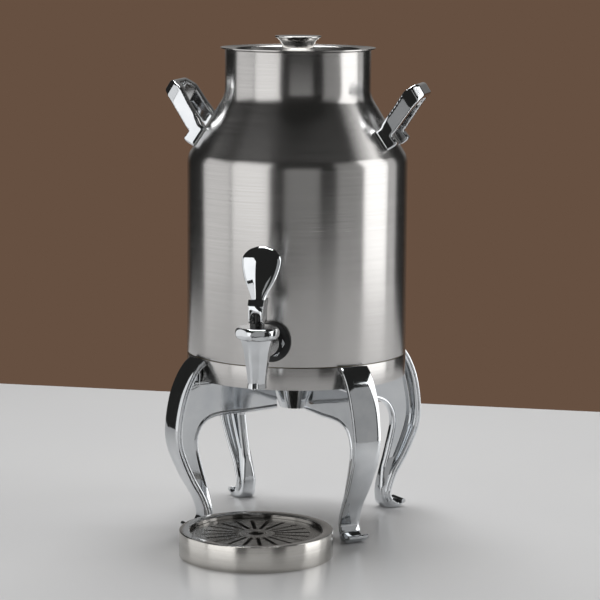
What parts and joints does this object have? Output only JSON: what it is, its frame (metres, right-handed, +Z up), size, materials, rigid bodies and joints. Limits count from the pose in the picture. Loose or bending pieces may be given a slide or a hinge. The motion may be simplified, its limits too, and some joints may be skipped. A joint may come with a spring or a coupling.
{
  "type": "hot water urn",
  "caption": "Insulated stainless hot water urn on four curved chrome legs, with bow handles, a lift-off lid with a knob, a lever tap and a separate drip tray with a slotted grid.",
  "frame": {"origin": "on the drum's axis at counter level, in the plane of the four feet", "axes": "+Z up along the drum's axis; the tap points along -Y; +X is the right side seen from the tap"},
  "size_m": [0.3024, 0.3939, 0.5648],
  "materials": {
    "chrome_cast": "mirror chrome plate on a casting",
    "brushed_stainless": "stainless steel brushed round its axis",
    "plain_stainless": "plain satin stainless sheet",
    "polished_steel": "turned and polished stainless",
    "zinc_fastener": "bright zinc-plated steel",
    "spring_steel": "drawn stainless wire",
    "black_rubber": "matt black rubber",
    "clear_silicone": "translucent white silicone",
    "black_polymer": "black moulded polymer, slight gloss",
    "insulation_wool": "mineral wool"
  },
  "bodies": {
    "urn": {"leg_front_left": "chrome_cast", "leg_front_right": "chrome_cast", "leg_back_left": "chrome_cast", "leg_back_right": "chrome_cast", "stand_hub": "chrome_cast", "hub_bolt": "zinc_fastener", "hub_nut": "zinc_fastener", "leg_bolts": "zinc_fastener", "base_ring": "brushed_stainless", "base_plate": "plain_stainless", "drum_wall": "brushed_stainless", "drum_shoulder": "brushed_stainless", "mouth_ring": "plain_stainless", "inner_tank": "plain_stainless", "tank_shoulder": "plain_stainless", "tank_floor_pan": "plain_stainless", "tank_neck_wall": "plain_stainless", "side_insulation": "insulation_wool", "base_insulation": "insulation_wool", "handle_left": "chrome_cast", "handle_right": "chrome_cast", "handle_screws": "zinc_fastener", "handle_washers": "zinc_fastener", "tap_washer": "black_rubber", "tap_body": "chrome_cast", "tap_inner_seal": "clear_silicone", "tap_nut": "zinc_fastener", "shank_spacer": "plain_stainless", "tap_bonnet": "chrome_cast", "bonnet_seal": "clear_silicone", "stem_gland": "black_polymer", "stem_spring": "spring_steel"},
    "stem": {"tap_stem": "black_polymer", "seat_cup": "clear_silicone", "lever_pin": "zinc_fastener"},
    "lever": {"tap_lever": "chrome_cast"},
    "lid": {"lid_pan": "brushed_stainless", "lid_gasket": "clear_silicone", "lid_knob": "polished_steel", "knob_screw": "zinc_fastener", "knob_washer": "plain_stainless"},
    "tray": {"tray_skirt": "brushed_stainless", "tray_basin": "plain_stainless"},
    "grid": {"tray_grid": "brushed_stainless"}
  },
  "joints": [
    {"name": "lever_tilt", "type": "hinge", "parent": "stem", "child": "lever", "pos_m": [0, -0.195, 0.2675], "axis": [1, 0, 0], "range_deg": [0, 40]},
    {"name": "stem_lift", "type": "slide", "parent": "urn", "child": "stem", "axis": [0, 0, 1], "range_m": [0, 0.0044], "deforming": ["stem_spring"]},
    {"name": "lid_lift", "type": "slide", "parent": "urn", "child": "lid", "axis": [0, 0, 1], "range_m": [0, 0.12]},
    {"name": "tray_pull", "type": "slide", "parent": "urn", "child": "tray", "axis": [0, -1, 0], "range_m": [0, 0.15]},
    {"name": "grid_lift", "type": "slide", "parent": "tray", "child": "grid", "axis": [0, 0, 1], "range_m": [0, 0.06]}
  ],
  "couplings": [
    {"joint": "stem_lift", "follows": "lever_tilt", "m_per_rad": 0.0063}
  ]
}
